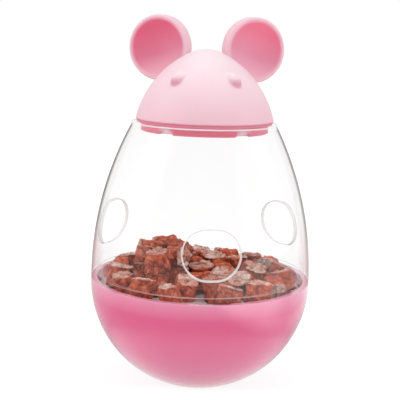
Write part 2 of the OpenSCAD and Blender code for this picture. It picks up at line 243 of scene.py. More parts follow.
def build_shell():
    """Clear shell: one closed wall of four-sided faces, with rounded lips in the treat holes."""
    column_step, patch_turn, patch_h, patch_rows = 2, 20, 10.65, 16
    low_from, low_rows, high_to, high_rows = 2.6, 4, 3.0, 20
    lug_edge, lip, lip_steps = 0.15, 0.75, 6
    spread = [0.8, 0.6, 0.42, 0.27, 0.15, 0.06, 0.0]
    angles = np.radians(np.arange(1, 361, column_step))
    columns = len(angles)
    patch = np.linspace(HOLE_Z - patch_h, HOLE_Z + patch_h, patch_rows + 1)
    low = np.linspace(RIM_Z + low_from, patch[0], low_rows)[:-1]
    high = np.linspace(patch[-1], MOUTH_Z - high_to, high_rows)[1:]
    lug_rows = [LUG_Z, LUG_Z + lug_edge, LUG_Z + LUG_H - lug_edge, LUG_Z + LUG_H]
    line = shell_section(np.concatenate([low, patch, high]), lug_rows)
    rows = len(line)
    verts, faces, looks, skip = [], [], [], set()
    for r, z in line:
        lug_row = r == SPIGOT_R and lug_rows[1] <= z <= lug_rows[2]
        for a in angles:
            within = math.degrees(a) % (360 / LUG_COUNT)
            on_lug = lug_row and column_step <= within <= LUG_ANGLE - column_step
            radius = LUG_R if on_lug else r
            verts.append((radius * math.cos(a), radius * math.sin(a), z))

    def row_of(z, inset):
        """Row of the section that lies at a height on the outer or the inner wall."""
        r = shell_r(z, inset)
        return min(range(rows), key=lambda i: abs(line[i][0] - r) + abs(line[i][1] - z))

    def add_band(first, second, look):
        """Adds the faces between two loops of points."""
        faces.extend((first[n - 1], first[n], second[n], second[n - 1])
                     for n in range(len(first)))
        looks.extend([look] * len(first))

    def add_loop(last, points, look):
        """Adds a loop of points and the faces between the last loop and it."""
        loop = range(len(verts), len(verts) + len(points))
        verts.extend(points)
        add_band(last, loop, look)
        return loop

    for k in range(HOLE_COUNT):
        middle = math.radians(FACE + HOLE_TURN + k * 360 / HOLE_COUNT)
        out = np.array([math.cos(middle), math.sin(middle), 0])
        side = np.array([-math.sin(middle), math.cos(middle), 0])
        first = round((math.degrees(middle) - patch_turn - 1) / column_step) % columns
        across = [(first + j) % columns for j in range(patch_turn * 2 // column_step + 1)]

        def on_wall(u, z, inset, sink=0.0):
            depth = math.sqrt(shell_r(z, inset) ** 2 - u * u) - sink
            return tuple(out * depth + side * u + np.array([0, 0, z]))

        edges = []
        for inset in (0.0, SHELL_WALL):
            outside = inset == 0
            up = [row_of(z, inset) for z in patch]
            ring = ([(up[0], j) for j in across] + [(i, across[-1]) for i in up[1:]]
                    + [(up[-1], j) for j in across[-2::-1]]
                    + [(i, across[0]) for i in up[-2:0:-1]])
            for a, b in zip(up[:-1], up[1:]):
                skip.update((min(a, b), j) for j in across[:-1])
            loop = [i * columns + j for i, j in ring]
            plane = [(np.array(verts[v]) @ side, verts[v][2] - HOLE_Z) for v in loop]
            turns = [math.atan2(z, u) for u, z in plane]
            for share in spread:
                points = []
                for (u, z), t in zip(plane, turns):
                    reach = stadium_reach(t, lip)
                    eu, ez = reach * math.cos(t), reach * math.sin(t)
                    u, z = eu + (u - eu) * share, HOLE_Z + ez + (z - ez) * share
                    points.append(on_wall(u, z, inset))
                loop = add_loop(loop, points, SKIN if outside else CLEAR)
            for step in range(1, lip_steps + 1):
                bend = math.pi / 2 * step / lip_steps
                sink = lip * (1 - math.cos(bend)) * (1 if outside else -1)
                points = []
                for t in turns:
                    reach = stadium_reach(t, lip * (1 - math.sin(bend)))
                    u, z = reach * math.cos(t), HOLE_Z + reach * math.sin(t)
                    points.append(on_wall(u, z, inset, sink))
                milky = step > (1 if outside else lip_steps / 2)
                loop = add_loop(loop, points, LIP if milky else CLEAR)
            edges.append(loop)
        add_band(*edges, LIP)

    for i in range(rows):
        after = (i + 1) % rows
        look = shell_look(line[i], line[after])
        for j in range(columns):
            if (i, j) not in skip:
                a, b, n = i * columns, after * columns, (j + 1) % columns
                faces.append((a + j, a + n, b + n, b + j))
                looks.append(look)
    obj = make_piece("shell_clear_wall", verts, faces)
    bm = bmesh.new()
    bm.from_mesh(obj.data)
    for face, look in zip(bm.faces, looks):
        face.material_index = look
    loose = [v for v in bm.verts if not v.link_faces]
    bmesh.ops.delete(bm, geom=loose, context="VERTS")
    bm.to_mesh(obj.data)
    bm.free()
    return obj


# Mouse head and ears

def dome_point(angle, inset):
    """Point of the dome's section at an angle of its normal above the horizon."""
    if angle < JOIN_ANGLE:
        r = FLANK_R - inset
        return FLANK_C[0] + r * math.cos(angle), FLANK_C[1] + r * math.sin(angle)
    r = DOME_TIP_R - inset
    return r * math.cos(angle), TIP_Z + r * math.sin(angle)


def eye_frames():
    """Middle, outward normal and long axis of both eyes."""
    lift = math.asin((EYE_Z - FLANK_C[1]) / FLANK_R)
    c, s = math.cos(lift), math.sin(lift)
    r = FLANK_C[0] + FLANK_R * c
    frames = []
    for hand in (-1, 1):
        a = math.radians(FACE + hand * EYE_TURN)
        normal = np.array([c * math.cos(a), c * math.sin(a), s])
        down = np.array([s * math.cos(a), s * math.sin(a), -c])
        across = np.array([-math.sin(a), math.cos(a), 0])
        lean = hand * EYE_LEAN
        axis = down * math.cos(lean) + across * math.sin(lean)
        frames.append((np.array([r * math.cos(a), r * math.sin(a), EYE_Z]), normal, axis))
    return frames


def raise_eye(q, centre, normal, axis):
    """Lifts a point of the dome onto an eye that has a soft edge and a groove at its lower end."""
    reach, blend, tilt = 6.0, 0.18, 0.3
    groove_depth, groove_from, groove_off, groove_w = 0.3, 0.3, 0.2, 0.35
    d = q - centre
    if d @ d > reach ** 2:
        return q
    along, skin = float(d @ axis), float(d @ normal)
    rest = float(d @ np.cross(normal, axis))
    past = max(0.0, abs(along) - EYE_LEN / 2)
    inside = EYE_R ** 2 - past ** 2 - rest ** 2
    cap = math.copysign(math.sqrt(abs(inside)), inside) - EYE_SINK + tilt * along
    step = max(0.0, 1 - abs(cap - skin) / (4 * blend))
    low_end = clamp(groove_from + along / EYE_R)
    groove = groove_depth * low_end * math.exp(-((cap - skin + groove_off) / groove_w) ** 2)
    return q + normal * (max(cap, skin) + blend * step * step - skin - groove)


def notch_plug(q):
    """Lifts a point of the plug's lower edge into an arched notch; the inner wall stays."""
    r, pitch = np.hypot(q[0], q[1]), 360 / NOTCH_COUNT
    turn = (math.degrees(math.atan2(q[1], q[0])) - FACE) % pitch - pitch / 2
    u = r * math.sin(math.radians(turn))
    if abs(u) < NOTCH_R:
        rise = max(0.0, math.sqrt(NOTCH_R ** 2 - u * u) - NOTCH_DROP)
        rise *= clamp((r - PLUG_IN_R) / (PLUG_R - PLUG_IN_R))
        q[2] += rise * (MOUTH_Z - q[2]) / (MOUTH_Z - PLUG_Z)
    return q


def build_head():
    """Mouse head: hollow dome with two raised eyes, a seat ring and a notched plug."""
    columns, outer_rows, inner_rows, plug_step = 360, 76, 24, 0.8
    plug_top, plug_out = MOUTH_Z - 0.2, PLUG_R + 0.01
    top, hollow_z, hollow_r = math.pi / 2, DOME_Z + SEAT_H, FLANK_R - HEAD_WALL
    inner_low = math.asin((hollow_z - FLANK_C[1]) / hollow_r)
    inner_r = FLANK_C[0] + hollow_r * math.cos(inner_low)
    outer = [dome_point(top + (DOME_LEAN - top) * i / outer_rows, 0) for i in range(outer_rows)]
    inner = [dome_point(inner_low + (top - inner_low) * i / inner_rows, HEAD_WALL)
             for i in range(1, inner_rows + 1)]
    plug_rows = [PLUG_Z + plug_step * n for n in (1, 2, 3)]
    line = profile(
        [(r, z, 0) for r, z in outer]
        + [(DOME_R, DOME_Z, 0.45), (SEAT_R, DOME_Z, 0.15), (SEAT_R, MOUTH_Z, 0.2),
           (PLUG_R, MOUTH_Z, 0.15)]
        + [(PLUG_R, z, 0) for z in plug_rows[::-1]]
        + [(PLUG_R, PLUG_Z, 0.35), (PLUG_IN_R, PLUG_Z, 0.35)]
        + [(PLUG_IN_R, z, 0) for z in plug_rows]
        + [(PLUG_IN_R, hollow_z, 0.3), (inner_r, hollow_z, 0.2)]
        + [(r, z, 0) for r, z in inner], False)
    eyes = eye_frames()

    def bend(p, row):
        q = np.array(p)
        if row < outer_rows:
            for eye in eyes:
                q = raise_eye(q, *eye)
        elif q[2] < plug_top and np.hypot(q[0], q[1]) < plug_out:
            q = notch_plug(q)
        return tuple(q)

    return make_piece("head_dome", *spin(line, columns, bend))


def ear_matrix(hand):
    """Place of an ear: its dish looks along local +Z, and -Y runs down into the head."""
    reach = DOME_TIP_R + EAR_OUT
    x, z = hand * reach * math.sin(EAR_LEAN), TIP_Z + reach * math.cos(EAR_LEAN)
    return (Matrix.Translation((x, EAR_BACK, z)) @ Matrix.Rotation(hand * EAR_SPLAY, 4, "Z")
            @ Matrix.Rotation(math.pi / 2, 4, "X") @ Matrix.Rotation(-hand * EAR_LEAN, 4, "Z"))


def build_ear(hand, name):
    """Dished round ear, trimmed under the dome's skin, with its tongue."""
    columns, dish_rows, back_rows, rim_round, dish_round = 120, 20, 6, 0.95, 1.5
    core_columns, core_rows, core_low, core_inset = 180, 40, math.radians(-20), 0.5
    dish_half = EAR_R - EAR_RIM
    dish_r = (dish_half ** 2 + EAR_DISH ** 2) / (2 * EAR_DISH)
    span = math.asin(dish_half / dish_r)
    turns = [span * (1 - i / dish_rows) for i in range(2, dish_rows + 1)]
    dish = [(dish_r * math.sin(t), dish_r - EAR_DISH - dish_r * math.cos(t), 0) for t in turns]
    back_r = EAR_R - 2 * EAR_EDGE_R
    back = [(back_r * i / back_rows, -EAR_T, 0) for i in range(back_rows + 1)]
    edge = [(EAR_R, -EAR_T, EAR_EDGE_R), (EAR_R, 0, rim_round), (dish_half, 0, dish_round)]
    place = ear_matrix(hand)
    verts, faces = spin(profile(back + edge + dish, False), columns)
    obj = make_piece(name, [place @ Vector(v) for v in verts], faces)
    x, low, thick = TONGUE_W / 2, -EAR_OUT - TONGUE_IN, -EAR_T + TONGUE_T
    box = [(sx * x, sy, sz) for sx in (-1, 1) for sy in (low, 0) for sz in (-EAR_T, thick)]
    box_faces = [(0, 1, 3, 2), (4, 6, 7, 5), (0, 4, 5, 1), (2, 3, 7, 6), (0, 2, 6, 4), (1, 5, 7, 3)]
    tongue = make_piece(name + "_tongue", [place @ Vector(v) for v in box], box_faces)
    core_line = []
    for i in range(core_rows + 1):
        angle = math.pi / 2 * (1 - i / core_rows) + core_low * i / core_rows
        core_line.append(dome_point(angle, core_inset))
    core = make_piece(name + "_core", *spin(core_line + [(0, core_line[-1][1])], core_columns))
    return settle(obj, name, ("DIFFERENCE", core), ("UNION", tongue))


# Treats

def treat_mesh(rng, width, length, angular):
    """One cut treat: points, faces, and how far each point is on a cut face and in a crack."""
    columns, side_rows, cap_rows, edge = 56, 16, 9, 0.4
    corner_least, corner_share, most_taper, most_tilt = 0.2, 0.82, 0.08, 0.16
    # Bumps as scale and height, and how much of them is on the sides and on the cut faces
    big_lump, small_lump, lump_side, lump_less = (0.2, 0.9), (0.5, 0.5), 0.85, 0.3
    big_crumb, small_crumb, crumb_side, crumb_more = (1.25, 0.34), (2.6, 0.2), 0.6, 0.6
    fibre_across, fibre_along, fibre_h = 1.5, 0.3, 0.34
    crack_scale, crack_w, crack_depth = 0.34, 0.16, 0.5
    half, r = length / 2, width / 2
    side_h = 2 * half - 2 * edge
    line = [(0, half)]
    line += [((r - edge) * i / cap_rows, half) for i in range(1, cap_rows + 1)]
    line += [(r - edge + edge * math.sin(t), half - edge + edge * math.cos(t)) for t in (0.5, 1.0)]
    line += [(r, half - edge - side_h * i / side_rows) for i in range(side_rows + 1)]
    line += [(x, -z) for x, z in line[cap_rows + 2:0:-1]] + [(0, -half)]
    shift = Vector([rng.uniform(-50, 50) for _ in range(3)])
    taper = rng.uniform(-most_taper, most_taper)
    top_tilt, low_tilt = (rng.uniform(-most_tilt, most_tilt) for _ in range(2))
    power, squash = rng.choice([2.0, 2.2, 2.6]), rng.uniform(0.88, 1.0)
    side_turn = math.tau / CHUNK_SIDES

    def wave(p, scale, height, sign=1):
        """Noise of a height; the sign picks another part of it."""
        return noise.noise(p * scale + shift * sign) * height

    verts, faces = spin(line, columns)
    points, cut, deep = [], [], []
    for x, y, z in verts:
        a = math.atan2(y, x)
        if angular:
            corner = math.cos(side_turn / 2) / math.cos(a % side_turn - side_turn / 2)
            scale = corner_least + corner_share * corner
        else:
            scale = (abs(math.cos(a)) ** power + abs(math.sin(a)) ** power) ** (-1 / power)
        scale *= 1 + taper * z / half
        on_cut = clamp((abs(z) - (half - edge)) / edge)
        tilt = top_tilt if z > 0 else low_tilt
        p = Vector((x * scale, y * scale * squash, z + on_cut * tilt * x))
        if on_cut < 0.5 and (x or y):
            out = Vector((x, y, 0)).normalized()
        else:
            out = Vector((0, 0, math.copysign(1, z)))
        lump = wave(p, *big_lump) + wave(p, *small_lump)
        strand = Vector((p.x * fibre_across, p.y * fibre_across, p.z * fibre_along))
        fibre = wave(strand, 1.0, fibre_h)
        crumb = wave(p, *big_crumb, -1) + wave(p, *small_crumb)
        crack = max(0.0, 1 - abs(wave(p, crack_scale, 1.0, -1)) / crack_w)
        p += out * (lump * (lump_side - lump_less * on_cut) + fibre * (1 - on_cut)
                    + crumb * (crumb_side + crumb_more * on_cut) - crack_depth * crack)
        points.append(p)
        cut.append(on_cut)
        deep.append(crack)
    return points, faces, cut, deep


def treat_places():
    """Kind, layer, place and height of each treat: the rings of the part's source."""
    for ring in range(TREAT_RINGS + 1):
        count, ring_r = max(1, 6 * ring), ring * TREAT_PITCH
        for i in range(count):
            turn = (i + 0.5) * 360 / count
            carries = ring < TREAT_RINGS and -ring_r * math.cos(math.radians(turn)) > HEAP_FROM
            if ring == TREAT_RINGS and abs(turn - FACE - 360) < 180 / count:
                continue
            for layer in range(2 if carries else 1):
                step = (ring + 2 * i + layer) % (LEAN_STEPS + 1)
                lean = 0.0 if carries and layer == 0 else TREAT_LEAN * step / LEAN_STEPS
                height = (TREAT_H - TREAT_D * math.sin(lean)) / math.cos(lean)
                z = FLOOR_Z + (layer + 1) * (TREAT_GAP + TREAT_H) - TREAT_H / 2
                place = (Matrix.Rotation(math.radians(turn), 4, "Z")
                         @ Matrix.Translation((ring_r, 0, z))
                         @ Matrix.Rotation(math.radians((i + layer) * LEAN_TURN), 4, "Z")
                         @ Matrix.Rotation(lean, 4, "Y"))
                yield (ring + i + layer) % 2, layer, place, height


def build_treats():
    """The heap: round treats in one piece and angular ones in another. Some lie on their sides."""
    rng = random.Random(5)
    lying_share, lying_width, loose, sink = (0.35, 0.8), 0.96, (0.6, 1.0), 1.2
    sway, wall_r, floor_z = 0.22, SPIGOT_IN_R - 0.15, FLOOR_Z + 0.03
    heaps = [([], [], [], [], []), ([], [], [], [], [])]
    for kind, layer, place, height in treat_places():
        size = rng.uniform(0.93, 1.08)
        if rng.random() < lying_share[layer]:
            place = place @ Matrix.Rotation(math.pi / 2, 4, "X")
            width, height = TREAT_H * lying_width, TREAT_D * size
        else:
            width = TREAT_D * size
        points, treat_faces, treat_cut, treat_deep = treat_mesh(rng, width, height, kind == 1)
        side = loose[layer]
        shift = Vector((rng.uniform(-side, side), rng.uniform(-side, side),
                        rng.uniform(-sink, 0.0) * layer))
        place = (Matrix.Translation(shift) @ place
                 @ Matrix.Rotation(rng.uniform(-sway, sway), 4, "X")
                 @ Matrix.Rotation(rng.uniform(-sway, sway), 4, "Y"))
        verts, faces, cut, deep, tint = heaps[kind]
        start = len(verts)
        for p in points:
            q = place @ p
            r = math.hypot(q.x, q.y)
            squeeze = min(1.0, wall_r / r) if r else 1.0
            verts.append((q.x * squeeze, q.y * squeeze, max(q.z, floor_z)))
        faces += [tuple(v + start for v in f) for f in treat_faces]
        cut += treat_cut
        deep += treat_deep
        tint += [rng.random()] * len(points)
    pieces = []
    for name, (verts, faces, cut, deep, tint) in zip(("treats_round", "treats_angular"), heaps):
        pieces.append(make_piece(name, verts, faces, {"cut": cut, "deep": deep, "tint": tint}))
    return pieces


# Colours

def linear(r, g, b):
    """Linear colour of a display colour from 0 to 255."""
    return tuple(c / 12.92 if c <= 0.04045 else ((c + 0.055) / 1.055) ** 2.4
                 for c in (r / 255, g / 255, b / 255)) + (1.0,)


WHITE = (1.0, 1.0, 1.0, 1.0)
# Lid colours: the plug's deep pink is painted shade under the dome's edge, and the pale notch pink
# is painted light in the plug's notches
NOTCH_PAINTED_LIGHT, PLUG_SHADE_PINK = linear(255, 226, 232), linear(251, 128, 152)
# Deep pink of the seat ring and the dome's lowest edge: painted shade under the dome's edge
HEAD_EDGE_SHADE = linear(242, 142, 166)
# The dome pales from its low edge to its top: painted top light
HEAD_LOW, HEAD_TOP_LIT = linear(255, 206, 218), linear(250, 231, 237)
# Eye colours: painted shade under the eyes and in the creases at their lower ends, and a painted
# highlight on their upper flanks
EYE_CREASE_SHADE, EYE_SHADE = linear(222, 134, 162), linear(240, 178, 197)
EYE_HIGHLIGHT = linear(255, 242, 246)
EAR_SKIN, EAR_SKIN_LIGHT = linear(245, 198, 210), linear(248, 206, 217)
# Ear dish colours from its bottom to its top: a deeper pink than the skin, partly the plastic's own
# colour and partly painted shade that deepens towards the top; the right set is paler as painted
# light
DISH_LEFT_SHADED = linear(242, 178, 195), linear(231, 132, 159), linear(240, 106, 140)
DISH_RIGHT_SHADED = linear(244, 184, 201), linear(236, 150, 176), linear(246, 124, 154)
# Base colours: the pale rim band is a painted highlight, and the paler lower part a painted
# reflection of the white floor
BASE_RIM_HIGHLIGHT, BASE_UPPER = linear(255, 162, 193), linear(247, 112, 158)
BASE_LOWER_REFLECTION = linear(232, 134, 169)
FLOW_DARK = (0.97, 0.96, 0.96, 1)
PLATE_DARK, PLATE_LIGHT = linear(236, 233, 230), linear(243, 241, 238)
IRON_DARK, IRON_LIGHT = (0.05, 0.05, 0.052, 1), (0.12, 0.118, 0.115, 1)
STEEL_DARK, STEEL_LIGHT = (0.52, 0.52, 0.54, 1), (0.66, 0.66, 0.67, 1)
CLEAR_TINT, LAMP_TINT = (0.976, 0.975, 0.975, 1), (0.95, 0.955, 0.96, 1)

# Colours of the clear shell by how far a face is turned away: 0 faces the viewer, 1 is edge-on
# The skin's edge-on stops darken to painted dark edge lines in place of refraction
SKIN_EDGE_LINE_STOPS = [(0.6, CLEAR_TINT), (0.76, (0.82, 0.8, 0.8, 1)),
              (0.84, (0.2, 0.18, 0.18, 1)), (1.0, (0.08, 0.07, 0.07, 1))]
# Low down the skin's edge-on stops are a painted refraction of the base's pink and the treats
SKIN_LOW_REFRACTION_STOPS = [(0.56, CLEAR_TINT), (0.72, (0.8, 0.68, 0.67, 1)),
                  (0.84, (0.42, 0.31, 0.31, 1)), (1.0, (0.6, 0.4, 0.43, 1))]
# The lips and inner faces grey a little edge-on: slight painted edge shade
CLEAR_STOPS = [(0.0, CLEAR_TINT), (1.0, (0.95, 0.94, 0.94, 1))]

# Colours of the treats: by the grain on their sides and cut faces, by treat, painted shade by how
# closed in a place is, and painted shade by the depth of a crack
MEAT_SIDE = [(0.3, linear(132, 42, 20)), (0.5, linear(212, 94, 56)), (0.7, linear(252, 162, 118))]
MEAT_FACE = [(0.32, linear(190, 126, 104)), (0.5, linear(240, 208, 194)),
             (0.66, linear(255, 244, 236))]
MEAT_TINT = [(0.0, (0.74, 0.62, 0.58, 1)), (0.5, (0.95, 0.92, 0.9, 1)), (1.0, WHITE)]
MEAT_CREVICE_SHADE = [(0.2, (0.12, 0.05, 0.04, 1)), (0.88, WHITE)]
MEAT_CRACK_SHADE = [(0.3, WHITE), (1.0, (0.5, 0.38, 0.35, 1))]


# Materials. Scales are per metre, and depths are in metres.
NOISE_LOW, NOISE_HIGH = 0.3, 0.7
FLOW_SCALE, EAR_FLOW_SCALE, SKIN_SCALE, SKIN_DEPTH = 45, 60, 900, 0.00004
CLEAR_SCALE, CLEAR_DEPTH, CLEAR_ROUGH, CLEAR_COAT = 60, 0.0002, 0.03, 0.45


class Graph:
    """Adds nodes to a node tree. A value is a constant or the output of another node."""

    def __init__(self, tree):
        self.nodes, self.links = tree.nodes, tree.links
        self.nodes.clear()

    def add(self, kind, **settings):
        node = self.nodes.new("ShaderNode" + kind)
        for key, value in settings.items():
            setattr(node, key, value)
        return node

    def put(self, value, socket):
        if isinstance(value, bpy.types.NodeSocket):
            self.links.new(value, socket)
        else:
            socket.default_value = value

    def fill(self, node, values):
        for key, value in values.items():
            self.put(value, node.inputs[key])

    def coords(self):
        return self.add("TexCoord").outputs["Object"]

    def split(self, vector):
        node = self.add("SeparateXYZ")
        self.put(vector, node.inputs[0])
        return node.outputs

    def noise(self, coords, scale, detail=3.0, roughness=0.55):
        node = self.add("TexNoise")
        self.fill(node, {"Vector": coords, "Scale": scale, "Detail": detail,
                         "Roughness": roughness})
        return node.outputs["Fac"]

    def ramp(self, value, stops):
        node = self.add("ValToRGB")
        while len(node.color_ramp.elements) < len(stops):
            node.color_ramp.elements.new(0.5)
        for element, (at, colour) in zip(node.color_ramp.elements, stops):
            element.position, element.color = at, colour
        self.put(value, node.inputs[0])
        return node.outputs[0]

    def fade(self, value, start, end, first, last, kind="LINEAR"):
        """Changes from first to last while a value runs from start to end."""
        node = self.add("MapRange", interpolation_type=kind)
        self.fill(node, {"Value": value, "From Min": start, "From Max": end,
                         "To Min": first, "To Max": last})
        return node.outputs[0]

    def ease(self, value, start, end, first, last):
        """The same with a soft start and end."""
        return self.fade(value, start, end, first, last, "SMOOTHSTEP")

    def vary(self, noise, first, last):
        """Changes from first to last over the usual range of a noise."""
        return self.fade(noise, NOISE_LOW, NOISE_HIGH, first, last)

    def tone(self, noise, dark, light):
        """Colour between two over the usual range of a noise."""
        return self.ramp(noise, [(NOISE_LOW, dark), (NOISE_HIGH, light)])

    def bump(self, height, strength, distance, normal=None):
        node = self.add("Bump")
        self.fill(node, {"Height": height, "Strength": strength, "Distance": distance})
        if normal is not None:
            self.put(normal, node.inputs["Normal"])
        return node.outputs[0]

    def mix(self, share, a, b, mode="MIX"):
        node = self.add("Mix", data_type="RGBA", blend_type=mode)
        self.fill(node, {0: share, 6: a, 7: b})
        return node.outputs[2]

    def math(self, operation, a, b):
        node = self.add("Math", operation=operation)
        self.fill(node, {0: a, 1: b})
        return node.outputs[0]

    def vector_math(self, operation, a, b=None):
        node = self.add("VectorMath", operation=operation)
        self.put(a, node.inputs[0])
        if b is not None:
            self.put(b, node.inputs[1])
        return node.outputs["Value"]

    def blend(self, share, first, second):
        """Mixes two shaders."""
        node = self.add("MixShader")
        self.fill(node, {0: share, 1: first.outputs[0], 2: second.outputs[0]})
        return node.outputs[0]


def material(name):
    """New material, with its graph, its shader and its output."""
    mat = bpy.data.materials.new(name)
    mat.use_nodes = True
    graph = Graph(mat.node_tree)
    out, shader = graph.add("OutputMaterial"), graph.add("BsdfPrincipled")
    graph.put(shader.outputs[0], out.inputs[0])
    return mat, graph, shader, out


def paint(obj, *mats):
    """Gives a piece its materials."""
    for mat in mats:
        obj.data.materials.append(mat)


def moulded_skin(graph, shader, coords, rough, grain, spread=0.03, normal=None):
    """Uneven gloss and the fine skin of moulded plastic."""
    fine = graph.noise(coords, SKIN_SCALE, 2.0)
    graph.fill(shader, {"Roughness": graph.vary(fine, rough - spread, rough + spread),
                        "Normal": graph.bump(fine, grain, SKIN_DEPTH, normal)})


def soft_light(graph, shader):
    """Lets a little light through pink plastic."""
    graph.fill(shader, {"Subsurface Weight": 0.3, "Subsurface Scale": 1.0,
                        "Subsurface Radius": (0.0045, 0.0014, 0.0017)})


def moulded(name, dark, light, rough, grain, edge):
    """Moulded plastic: slight flow marks in the colour and softened edges."""
    mat, graph, shader, _ = material(name)
    coords = graph.coords()
    flow = graph.tone(graph.noise(coords, FLOW_SCALE, 2.0), dark, light)
    graph.put(flow, shader.inputs["Base Color"])
    bevel = graph.add("Bevel", samples=6)
    graph.put(edge, bevel.inputs["Radius"])
    moulded_skin(graph, shader, coords, rough, grain, normal=bevel.outputs[0])
    return mat


def pink_by_height(name, stops, rough, grain, spots=(), gloss=None):
    """Pink plastic whose colour changes with the height in millimetres, with slight flow marks
    and soft spots (point, reach, colour). gloss sets more of the shader's values."""
    spot_core, spot_share = 0.2, 0.9
    mat, graph, shader, _ = material(name)
    coords = graph.coords()
    low, high = stops[0][0], stops[-1][0]
    height = graph.fade(graph.split(coords)["Z"], low * MM, high * MM, 0.0, 1.0)
    pink = graph.ramp(height, [((z - low) / (high - low), colour) for z, colour in stops])
    flow = graph.tone(graph.noise(coords, FLOW_SCALE, 2.0), FLOW_DARK, WHITE)
    colour = graph.mix(1.0, pink, flow, "MULTIPLY")
    for point, reach, spot_colour in spots:
        away = graph.vector_math("DISTANCE", coords, [c * MM for c in point])
        share = graph.fade(away, spot_core * reach * MM, reach * MM, spot_share, 0.0)
        colour = graph.mix(share, colour, spot_colour)
    graph.put(colour, shader.inputs["Base Color"])
    moulded_skin(graph, shader, coords, rough, grain)
    soft_light(graph, shader)
    graph.fill(shader, gloss or {})
    return mat


def ear_material(name, hand):
    """Ear plastic: the head's pale skin, and a dish of deeper pink, partly its own colour and
    partly painted shade that deepens towards its top.
    """
    dish_in, dish_out, dish_low, dish_high = EAR_R - 2.1, EAR_R - 0.8, -0.75 * EAR_R, 0.6 * EAR_R
    front_from, front_to, upright = -3.4, -3.1, 1.6
    rough, grain, spread = 0.46, 0.2, 0.04
    mat, graph, shader, _ = material(name)
    coords = graph.coords()
    place = ear_matrix(hand)
    to_ear, centre = place.inverted(), place.translation

    def along(axis):
        """Distance from the ear's middle along an axis, in metres."""
        return graph.math("SUBTRACT", graph.vector_math("DOT_PRODUCT", coords, axis),
                          axis.dot(centre) * MM)

    away = graph.vector_math("DISTANCE", coords, centre * MM)
    within = graph.fade(away, dish_in * MM, dish_out * MM, 1.0, 0.0)
    front = graph.fade(along(Vector(to_ear[2][:3])), front_from * MM, front_to * MM, 0.0, 1.0)
    skin = graph.tone(graph.noise(coords, EAR_FLOW_SCALE, 2.0), EAR_SKIN, EAR_SKIN_LIGHT)
    upward = (Vector(to_ear[1][:3]) + Vector((0, 0, upright))).normalized()
    # Painted shade: the dish deepens towards its top
    up = graph.fade(along(upward), dish_low * MM, dish_high * MM, 0.0, 1.0)
    dish = graph.ramp(up, list(zip((0.0, 0.45, 1.0), DISH_LEFT_SHADED if hand < 0 else DISH_RIGHT_SHADED)))
    colour = graph.mix(graph.math("MULTIPLY", within, front), skin, dish)
    graph.put(colour, shader.inputs["Base Color"])
    moulded_skin(graph, shader, coords, rough, grain, spread)
    soft_light(graph, shader)
    return mat


def clear_material(name, clear, stops, low_stops=None):
    """Clear plastic, tinted by how far it is turned away: the tint is painted dark edge lines in
    place of refraction, and other stops low down paint the base's pink refracted in it. It lets the
    lamps' light through to the treats; less clear, it looks milky."""
    low_full, low_end = RIM_Z + 12, RIM_Z + 22
    mat, graph, shader, out = material(name)
    coords = graph.coords()
    weight = graph.add("LayerWeight")
    graph.put(0.5, weight.inputs["Blend"])
    colour = graph.ramp(weight.outputs["Facing"], stops)
    if low_stops:
        low = graph.fade(graph.split(coords)["Z"], low_full * MM, low_end * MM, 1.0, 0.0)
        colour = graph.mix(low, colour, graph.ramp(weight.outputs["Facing"], low_stops))
    wave = graph.noise(coords, CLEAR_SCALE, 1.0)
    graph.fill(shader, {
        "Base Color": colour, "IOR": 1.0, "Coat Weight": CLEAR_COAT,
        "Transmission Weight": clear, "Roughness": graph.vary(wave, 0.0, CLEAR_ROUGH),
        "Normal": graph.bump(wave, 0.02, CLEAR_DEPTH)})
    path = graph.add("LightPath").outputs
    lamp_light = graph.math("MAXIMUM", path["Is Shadow Ray"], path["Is Diffuse Ray"])
    window = graph.add("BsdfTransparent")
    graph.put(LAMP_TINT, window.inputs[0])
    graph.put(graph.blend(lamp_light, shader, window), out.inputs[0])
    return mat


def treat_material(name):
    """Dried meat: red-brown sides, pale crumbly cut faces, a little variation per treat, and
    painted shade in the crevices between treats and in the cracks.
    """
    grain_scale, patch_scale, crumb_scale, crevice_reach = 420, 170, 1100, 0.006
    grain_depth, crumb_depth = 0.0005, 0.0002
    mat, graph, shader, _ = material(name)
    coords = graph.coords()

    def attribute(key):
        return graph.add("Attribute", attribute_name=key).outputs["Fac"]

    grain = graph.noise(coords, grain_scale, 4.0, 0.65)
    patch = graph.noise(coords, patch_scale, 3.0)
    crumb = graph.noise(coords, crumb_scale, 3.0, 0.6)
    pale = graph.math("MULTIPLY", attribute("cut"), graph.fade(patch, 0.4, 0.6, 0.35, 1.0))
    colour = graph.mix(pale, graph.ramp(grain, MEAT_SIDE), graph.ramp(grain, MEAT_FACE))
    # Painted shade where treats of one piece close each other in, and deeper in the cracks
    crevice = graph.add("AmbientOcclusion", samples=8, only_local=True)
    graph.put(crevice_reach, crevice.inputs["Distance"])
    for value, stops in ((attribute("tint"), MEAT_TINT), (crevice.outputs["AO"], MEAT_CREVICE_SHADE),
                         (attribute("deep"), MEAT_CRACK_SHADE)):
        colour = graph.mix(1.0, colour, graph.ramp(value, stops), "MULTIPLY")
    rough = graph.bump(grain, 0.6, grain_depth)
    graph.fill(shader, {
        "Base Color": colour, "Roughness": graph.vary(crumb, 0.55, 0.8),
        "Normal": graph.bump(crumb, 0.45, crumb_depth, rough)})
    return mat


def metal_material(name, dark, light, metallic, rough, scale, depth):
    """Metal with an uneven colour, gloss and skin."""
    spread = 0.08
    mat, graph, shader, _ = material(name)
    cast = graph.noise(graph.coords(), scale, 5.0, 0.6)
    graph.fill(shader, {
        "Base Color": graph.tone(cast, dark, light), "Metallic": metallic,
        "Roughness": graph.vary(cast, rough - spread, rough + spread),
        "Normal": graph.bump(cast, 0.5, depth)})
    return mat


